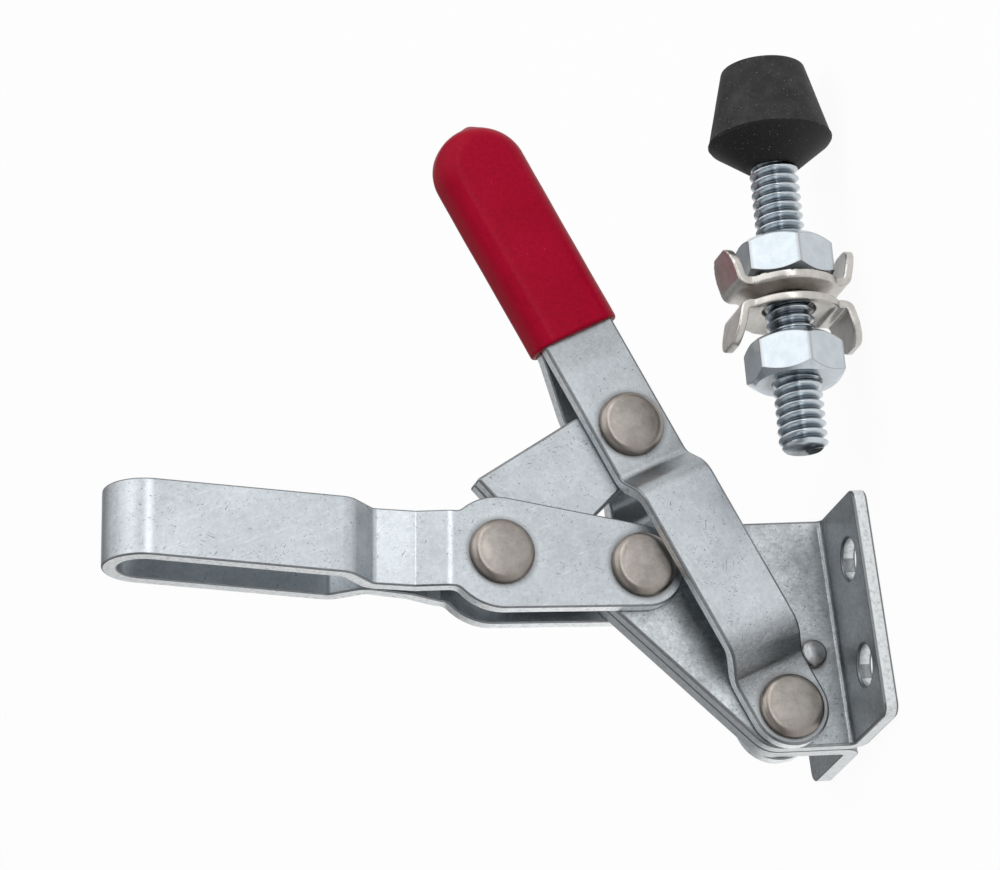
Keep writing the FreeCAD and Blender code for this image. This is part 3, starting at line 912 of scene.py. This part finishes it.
@dataclass
class Rivets:
    """The headed rivets of the linkage and the small stop."""

    shop: Workshop
    sides: int = 72
    head_height: float = 1.45
    shank_radius: float = 2.75
    stop_head_height: float = 1.3
    stop_shank_radius: float = 1.4
    rim_ease: float = 0.1
    shoulder_height: float = 0.62       # of the head's height, at most
    shoulder_width: float = 0.3         # of its radius, at most
    shoulder_stretch: float = 1.25
    crown_height: float = 0.16          # of the head's height

    def head(self, base: float, radius: float, height: float) -> list[RimPoint]:
        """The profile of a head, from the rim of its underside to its centre.

        Args:
            base: Where its underside is along the axis.
            radius: Its radius.
            height: Its height.

        Returns:
            The profile.
        """
        shoulder = min(self.shoulder_height * height, self.shoulder_width * radius)
        width, crown = shoulder * self.shoulder_stretch, self.crown_height * height
        foot = base + (height - crown - shoulder)
        profile = [(base, radius - self.rim_ease, 1.0), (base + self.rim_ease, radius, 1.0)]
        for step, (rise, reach) in enumerate(arc((0, 0), 1.0, 90, 0, 7)):
            profile.append((foot + rise * shoulder, radius - width + reach * width,
                            0.9 - 0.09 * step))
        edge_x, edge_r, _ = profile[-1]
        for step in range(1, 9):
            rest = 1 - step / 8
            profile.append((edge_x + crown * (1 - rest ** 2), edge_r * rest, 0.25 * rest ** 3))
        return profile

    def rivet(self, node: str, material: Material, slot: Slot, height: float, shank: float,
              split: bool = False) -> None:
        """Builds a rivet across the clamp, with a head on each side, and dresses it.

        Args:
            node: The CAD node that it stands for.
            material: Its material.
            slot: The record's slot for its finish, handed on.
            height: The height of a head.
            shank: The radius of its shank.
            split: Whether it is two headed ends with nothing between them.
        """
        low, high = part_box(node)
        reach, radius = high.y / MM, (high.x - low.x) / 2 / MM
        across = Matrix(((0, 1, 0, (low.x + high.x) / 2), (1, 0, 0, 0),
                         (0, 0, 1, (low.z + high.z) / 2), (0, 0, 0, 1)))
        gap = self.middle_gap(node) if split else 0.0
        inner = [(gap, 0.0, 1.0)] if split else []
        inner += [(gap, shank, 1.0), (reach - height, shank, 1.0)]
        half = inner + self.head(reach - height, radius, height)
        flip = Matrix.Scale(-1, 4, (0, 1, 0))
        made, far = (self.shop.lathe(node + end, half, self.sides, place)
                     for end, place in (("_metal", across), ("_far", flip @ across)))
        join_outward(made.data, TURNED_WELD, far.data)
        smooth(made.data, self.shop.turned_angle)
        bpy.data.objects.remove(far)
        self.shop.hand_over(made, material, slot, node)

    def middle_gap(self, node: str) -> float:
        """Where a split rivet's inner end is, from the middle plane."""
        shape = np.array([v.co.y for v in self.shop.nodes[node].data.vertices])
        return float(shape[shape > 0].min()) / MM

    def build(self) -> None:
        """Builds the rivets and dresses them."""
        nickel = SatinMetal((0.380, 0.358, 0.336), (0.285, 0.264, 0.245), 0.32, 0.25, 0.8)
        warm = nickel.paint("rivet_nickel")
        for node in ("link_arm_rivet", "handle_link_rivet", "handle_pivot_rivet",
                     "arm_pivot_rivet"):
            self.rivet(node, warm, Slot.RIVET_NICKEL, self.head_height, self.shank_radius,
                       node == "arm_pivot_rivet")
        dark = SatinMetal((0.36, 0.375, 0.39), (0.25, 0.26, 0.27), 0.30, 0.2, 0.8)
        self.rivet("stop_rivet", dark.paint("stop_steel"), Slot.STOP_STEEL,
                   self.stop_head_height, self.stop_shank_radius)


# ---- grip


@dataclass
class Grip:
    """The dip-moulded grip, with a drip nub at its tip."""

    shop: Workshop
    voxel: float = 0.24
    rounds: int = 8
    crown: float = 0.42
    sag: float = 0.30
    half_width: float = 6.2
    set_back: float = 0.55
    nub_height: float = 0.55
    nub_radius: float = 1.15
    nub_aside: float = 1.6
    wave: float = 0.04
    wave_length: float = 6.0

    def build(self) -> None:
        """Builds the grip and dresses it."""
        made = self.shop.rounded("grip", "grip_vinyl", self.voxel, self.rounds)
        root = Vector(self.shop.joints["handle_pivot"]["pos_m"])
        way = (Vector(self.shop.joints["link_pivot"]["pos_m"]) - root).normalized()
        side = np.array(Vector((0, 1, 0)).cross(way))
        points = np.array([v.co for v in made.data.vertices])
        normals = np.array([v.normal for v in made.data.vertices])
        low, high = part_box("grip")
        points_in = points - np.array(root)
        along, across = points_in @ np.array(way), points_in @ side / (self.half_width * MM)
        facing = np.abs(normals[:, 1]) ** 2
        lift = facing * (self.crown * (1 - across ** 2) - self.sag)
        tip = np.array(root) + np.array(way) * along.max() - side * self.nub_aside * MM
        tip[1] = (low.y + high.y) / 2
        away = np.linalg.norm(points - tip, axis=1) / (self.nub_radius * MM)
        lift += self.nub_height * np.exp(-away ** 2)
        lift += [self.wave * noise.noise(Vector(p) / (self.wave_length * MM)) for p in points]
        points += normals * (lift * MM)[:, None]
        late = np.clip(along / along.max() * 4 - 3, 0, 1)       # 0 to 1 over the last quarter
        points -= np.outer(late ** 2 * self.set_back * MM, np.array(way))
        # painted shade: marks how far each point turns away from Y, for the flanks' deeper colour
        flank = made.data.attributes.new("flank", "FLOAT", "POINT")
        flank.data.foreach_set("value", (1 - facing).astype(np.float32))
        made.data.vertices.foreach_set("co", points.astype(np.float32).ravel())
        made.data.update()
        vinyl = DippedVinyl().paint("grip_vinyl")
        self.shop.hand_over(made, vinyl, Slot.GRIP_VINYL, "grip")


# ---- spindle


class ThreadTree(Tree):
    """Geometry nodes that make a threaded rod along Z from its sizes."""

    SIZES = ("Length", "Crest radius", "Root radius", "Pitch", "End chamfer")
    FLANK_SLOPE = 1.3
    ROOT_FLAT = 0.14
    VALLEY_TOP = 0.62

    def __init__(self, around: int, rows_per_turn: int, turns: float) -> None:
        """Builds the tree.

        Args:
            around: Sides round the rod.
            rows_per_turn: Rows of faces in each turn of the thread.
            turns: How many turns the rod has.
        """
        super().__init__(bpy.data.node_groups.new("thread", "GeometryNodeTree"))
        sides = self.data.interface
        for direction, kind, names in (("INPUT", "Geometry", ("Geometry",)),
                                       ("INPUT", "Float", self.SIZES),
                                       ("INPUT", "Material", ("Material",)),
                                       ("OUTPUT", "Geometry", ("Geometry",))):
            for name in names:
                sides.new_socket(name, in_out=direction, socket_type="NodeSocket" + kind)
        given = self.node("NodeGroupInput")
        length, crest, root, pitch, chamfer = (Value(self, given.outputs[n]) for n in self.SIZES)
        rod = self.node("GeometryNodeMeshCylinder", {"fill_type": "TRIANGLE_FAN"},
                        {"Vertices": around, "Side Segments": int(rows_per_turn * turns),
                         "Radius": 1.0, "Depth": length})
        x, y, z = self.split(self.node("GeometryNodeInputPosition"))
        angle = self.math("ARCTAN2", y, x) / math.tau
        phase = abs((z / pitch - angle).fraction() * 2.0 - 1.0)
        rise = (phase * self.FLANK_SLOPE - self.ROOT_FLAT).most(0.0).least(1.0)
        threaded = root + (crest - root) * rise
        from_end = length / 2 - abs(z)
        radius = threaded.least(crest - chamfer + from_end)
        moved = self.node("ShaderNodeCombineXYZ", {}, {0: x * radius, 1: y * radius, 2: z})
        set_place = self.node("GeometryNodeSetPosition", {},
                              {"Geometry": rod.outputs["Mesh"], "Position": moved})
        # marks the thread's valleys for painted shade
        marked = self.node("GeometryNodeStoreNamedAttribute",
                           {"data_type": "FLOAT", "domain": "POINT"},
                           {"Geometry": set_place, "Name": "valley",
                            "Value": 1.0 - rise.ramp(0.0, self.VALLEY_TOP)})
        real = self.node("GeometryNodeRealizeInstances", {}, {0: marked})
        coated = self.node("GeometryNodeSetMaterial", {},
                           {"Geometry": real, "Material": given.outputs["Material"]})
        self.node("NodeGroupOutput", {}, {0: coated})

    def apply(self, made: Object, sizes: Sequence[float], material: Material) -> None:
        """Puts the tree on a piece as a modifier with its inputs set.

        Args:
            made: The piece.
            sizes: The tree's sizes in metres, in the order of SIZES.
            material: The material it sets.
        """
        keys = {item.name: item.identifier for item in self.data.interface.items_tree
                if item.in_out == "INPUT"}
        modifier = made.modifiers.new("thread", "NODES")
        modifier.node_group = self.data
        for name, size in zip(self.SIZES, sizes):
            modifier[keys[name]] = size
        modifier[keys["Material"]] = material


@dataclass
class Spindle:
    """The loose spindle: threaded stud, rubber tip, two nuts and two flanged washers."""

    shop: Workshop
    crest_radius: float = 3.1
    root_radius: float = 2.42
    pitch: float = 1.27
    end_chamfer: float = 0.6
    stud_start: float = 2.0
    stud_end: float = 41.45
    face_x: float = -9.9
    face_radius: float = 5.4
    rim_radius: float = 7.86
    back_x: float = 3.65
    neck_radius: float = 3.5
    seam_height: float = 0.09
    wave: float = 0.03
    nut_cone: float = 0.92
    nut_slope: float = 36.0
    nut_sides: int = 96
    nut_corner: float = 1.15        # its widest radius, of its half width across flats
    thread_sides: int = 64
    rows_per_turn: int = 14
    tip_sides: int = 128
    washer_voxel: float = 0.13
    washer_rounds: int = 14

    def __post_init__(self) -> None:
        """Finds where the spindle lies from the frame."""
        face = next(m for m in self.shop.record["mounts"] if m["name"] == "tip_face")
        self.axis = Vector(self.shop.joints["upper_nut_travel"]["axis"]).normalized()
        start = Vector(face["pos_m"]) - self.axis * self.face_x * MM
        side = Vector((0, 0, 1)).cross(self.axis).normalized()
        up = self.axis.cross(side)
        turn = Matrix((self.axis, side, up)).transposed().to_4x4()
        self.place = Matrix.Translation(start) @ turn

    def stud(self, material: Material) -> None:
        """Builds the threaded stud.

        Args:
            material: Its material.
        """
        length = self.stud_end - self.stud_start
        tree = ThreadTree(self.thread_sides, self.rows_per_turn, length / self.pitch)
        made = wrap("spindle_thread", bpy.data.meshes.new("spindle_thread"))
        sizes = [s * MM for s in (length, self.crest_radius, self.root_radius, self.pitch,
                                  self.end_chamfer)]
        tree.apply(made, sizes, material)
        baked(made)
        along = Matrix.Rotation(math.radians(90), 4, "Y")
        middle = Matrix.Translation(((self.stud_start + self.stud_end) / 2 * MM, 0, 0))
        made.data.transform(self.place @ middle @ along)
        smooth(made.data, 60)
        self.shop.hand_over(made, material, Slot.FASTENER_ZINC, "spindle_stud")

    def stray(self, along: float, angle: float) -> float:
        """How far the tip's rubber strays from its true radius, most of all on the seam.

        Args:
            along: The place along the axis.
            angle: The angle round it, in radians.

        Returns:
            What is added to the radius.
        """
        way = Vector((math.cos(angle), math.sin(angle), along * 0.2)) * 2.2
        strayed = self.wave * noise.noise(way)
        if abs(along) < 0.03:
            strayed += self.seam_height * 0.6 * noise.noise(way * 7.0)
        return strayed

    def tip(self, material: Material) -> None:
        """Builds the rubber tip, with its moulding seam at the widest rim.

        Args:
            material: Its material.
        """
        front = math.degrees(math.atan2(self.rim_radius - self.face_radius, -self.face_x))
        back = math.degrees(math.atan2(self.rim_radius - self.neck_radius, self.back_x))
        round_face, round_rim = 0.55, 0.35
        face_c = (self.face_x + round_face, self.face_radius - round_face)
        rim_c = (-0.05, self.rim_radius - round_rim - 0.05)
        profile = [(self.face_x, 0.0), (self.face_x, 2.0), (self.face_x, 3.8)]
        profile += arc(face_c, round_face, 180, 90 + front, 6)
        edge = (self.face_x + 0.8, self.face_radius + 0.8 * math.tan(math.radians(front)) - 0.1)
        profile += between(edge, (-0.35, self.rim_radius - 0.12), (0.2, 0.4, 0.6, 0.8, 0.94))
        profile += arc(rim_c, round_rim, 90 + front, 100, 3)
        seam = self.rim_radius - 0.03
        profile += [(-0.06, seam + self.seam_height * 0.2), (0.0, seam + self.seam_height),
                    (0.06, seam + self.seam_height * 0.2)]
        profile += arc((0.05, rim_c[1]), round_rim, 80, 90 - back, 4)
        profile += between(profile[-1], (self.back_x - 0.15, self.neck_radius + 0.1),
                           (0.3, 0.6, 0.9, 1.0))
        profile += [(self.back_x, self.neck_radius - 0.15), (self.back_x, self.crest_radius - 0.4),
                    (self.stud_start + 0.3, self.root_radius - 0.4), (self.stud_start + 0.3, 0.0)]

        inset = [(x, radius, float(x > 0.05)) for x, radius in profile]
        made = self.shop.lathe("spindle_rubber", inset, self.tip_sides, self.place, self.stray)
        self.shop.hand_over(made, material, Slot.TIP_RUBBER, "spindle_tip")

    def nut(self, name: str, material: Material) -> None:
        """Builds a hexagon nut, its corners cut back by a cone at both ends.

        Args:
            name: Which nut: upper or lower.
            material: Its material.
        """
        node = f"spindle_nut_{name}"
        inside = self.place.inverted()
        local = np.array([inside @ v.co for v in self.shop.nodes[node].data.vertices]) / MM
        start, end, flat = local[:, 0].min(), local[:, 0].max(), local[:, 2].max()
        middle, half = (start + end) / 2, (end - start) / 2
        cone, bore, mouth = flat * self.nut_cone, self.crest_radius - 0.35, 0.5
        slope, steps = math.tan(math.radians(self.nut_slope)), self.nut_sides
        rows: list[Sequence[RimPoint]] = []
        for turn in (1, -1):
            ends = []
            for i in range(steps):
                off = math.radians(360 * i / steps % 60 - 30)
                r = min(flat / math.cos(off), flat * self.nut_corner)
                drop = (r - cone) * slope
                darkening = 1.0 if abs(off) > math.radians(29) else 0.0
                ends.append([(half - mouth, bore, 1.0), (half, bore + mouth, 0.6),
                             (half, cone - 0.1, 0.0), (half - 0.02, cone + 0.05, 0.0),
                             (half - drop + 0.12 * slope, r - 0.12, darkening * 0.5),
                             (half - drop, r, 1.0), (half - drop - 0.15, r, darkening)])
            columns = [[(middle + turn * x, r, w) for x, r, w in column] for column in ends]
            rows += list(zip(*columns))[::turn]
        made = self.shop.rings(node + "_metal", rows, self.place, 0.0, 20, closed=True)
        self.shop.hand_over(made, material, Slot.FASTENER_ZINC, node)

    def build(self) -> None:
        """Builds the spindle's pieces and dresses them."""
        zinc = SatinMetal((0.57, 0.62, 0.66), (0.50, 0.55, 0.59), 0.24, 0.2, 0.5,
                           (0.07, 0.09, 0.11))
        bright = zinc.paint("fastener_zinc")
        warm = SatinMetal((0.60, 0.58, 0.55), (0.47, 0.45, 0.42), 0.32, 0.22).paint(
            "washer_nickel")
        self.stud(bright)
        self.tip(MouldedRubber().paint("tip_rubber"))
        for name in ("upper", "lower"):
            self.nut(name, bright)
            node = f"flanged_washer_{name}"
            washer = self.shop.rounded(node, node + "_metal", self.washer_voxel,
                                       self.washer_rounds)
            self.shop.hand_over(washer, warm, Slot.WASHER_NICKEL, node)


# ---- studio


@dataclass
class Studio:
    """Floor, lights, world and camera."""

    camera_place: Place = (256.3, 793.8, 304.9)
    camera_right: Place = (0.12792, 0.26985, -0.95437)
    camera_down: Place = (0.93789, -0.34579, 0.02794)
    camera_ahead: Place = (-0.32247, -0.89867, -0.29733)
    lens: float = 251.4
    sensor: float = 36.0
    clip: Point = (10.0, 20000.0)
    floor_reach: float = 3000.0
    floor_white: float = 0.94
    # a painted pool of light on the floor, seen only in reflections
    light_pool_middle: float = -40.0
    light_pool_half: float = 85.0
    light_pool_edge: float = 145.0
    light_pool_fall: float = 0.80
    aim: Place = (-20.0, 0.0, 40.0)

    def camera(self) -> None:
        """Makes the camera."""
        data = bpy.data.cameras.new("camera")
        data.lens, data.sensor_width = self.lens, self.sensor
        data.clip_start, data.clip_end = (limit * MM for limit in self.clip)
        made = wrap("camera", data)
        right, down, ahead = (Vector(v) for v in (self.camera_right, self.camera_down,
                                                  self.camera_ahead))
        turn = Matrix((right, -down, -ahead)).transposed()
        made.matrix_world = Matrix.Translation(Vector(self.camera_place) * MM) @ turn.to_4x4()
        bpy.context.scene.camera = made

    def floor(self) -> None:
        """Makes the pale floor, which keeps the object's shadow and shows reflections a painted
        pool of light.
        """
        reach = self.floor_reach * MM
        mesh = bpy.data.meshes.new("floor")
        mesh.from_pydata([(-reach, -reach, 0), (reach, -reach, 0), (reach, reach, 0),
                          (-reach, reach, 0)], [], [(0, 1, 2, 3)])
        made = wrap("floor", mesh)
        tree = Paint("floor_white")
        camera, mirrored = tree.rays()
        # painted light: reflections see a bright band along Y that dims towards the sides; the
        # camera sees even white
        aside = abs(tree.split(tree.placed())[0] - self.light_pool_middle)
        light_pool = 1.0 - aside.ramp(self.light_pool_half, self.light_pool_edge) * self.light_pool_fall
        seen = camera * self.floor_white + mirrored * light_pool
        plain = tree.node("ShaderNodeBsdfDiffuse", {}, {"Color": (0.80, 0.80, 0.80, 1)})
        glow = tree.node("ShaderNodeEmission", {}, {"Color": (1, 1, 1, 1), "Strength": 1.0})
        tree.close("ShaderNodeOutputMaterial", seen, plain, glow)
        mesh.materials.append(tree.material)

    def lamp(self, name: str, place: Sequence[float], size: tuple[float, float], power: float
             ) -> None:
        """Makes a soft lamp that looks at the object.

        Args:
            name: Its name.
            place: Where it is.
            size: Its width and height.
            power: Its power in watts.
        """
        data = bpy.data.lights.new(name, "AREA")
        data.shape = "RECTANGLE"
        data.size, data.size_y, data.energy = size[0] * MM, size[1] * MM, power
        made = wrap(name, data)
        made.location = Vector(place) * MM
        aim = Vector([along * MM for along in self.aim]) - made.location
        made.rotation_mode = "QUATERNION"
        made.rotation_quaternion = aim.to_track_quat("-Z", "Y")

    def world(self) -> None:
        """Makes the world: white to the camera, soft grey to the object."""
        made = bpy.data.worlds.new("studio")
        made.use_nodes = True
        bpy.context.scene.world = made
        tree = Tree(made.node_tree)
        camera, mirrored = tree.rays()
        x, _, z = tree.split(tree.node("ShaderNodeTexCoord").outputs["Generated"])
        rear = (0.5 - x * 0.5).ramp(0.15, 0.85)
        level, high = 1.0 - abs(z).ramp(0.04, 0.22), z.ramp(0.40, 0.65)
        shown = mirrored * (level * 0.75).most(high * 0.45)
        lit = (1.0 - mirrored) * (rear * 0.40 + 0.22)
        soft = tree.node("ShaderNodeBackground", {},
                         {"Color": (0.95, 0.97, 1.0, 1), "Strength": 0.30})
        white = tree.node("ShaderNodeBackground", {}, {"Color": (1, 1, 1, 1), "Strength": 1.0})
        tree.close("ShaderNodeOutputWorld", camera.most(shown + lit), soft, white)

    def build(self) -> None:
        """Builds the studio."""
        self.camera()
        self.floor()
        self.world()
        self.lamp("key", (-620, 420, 560), (1100, 1100), 4.4)
        self.lamp("overhead", (-120, -160, 760), (700, 700), 1.0)
        self.lamp("strip", (-290, 840, 100), (1000, 170), 1.5)
        bpy.context.scene.view_settings.view_transform = "Standard"


def main() -> None:
    """Builds every piece in order."""
    logging.basicConfig(level=logging.INFO, format="%(name)s: %(message)s")
    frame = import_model()
    shop = Workshop(frame)
    Studio().build()
    for part in (SheetWork(shop), Rivets(shop), Grip(shop), Spindle(shop)):
        part.build()
        LOG.info("%s is built", type(part).__name__)


if __name__ == "__main__":
    main()
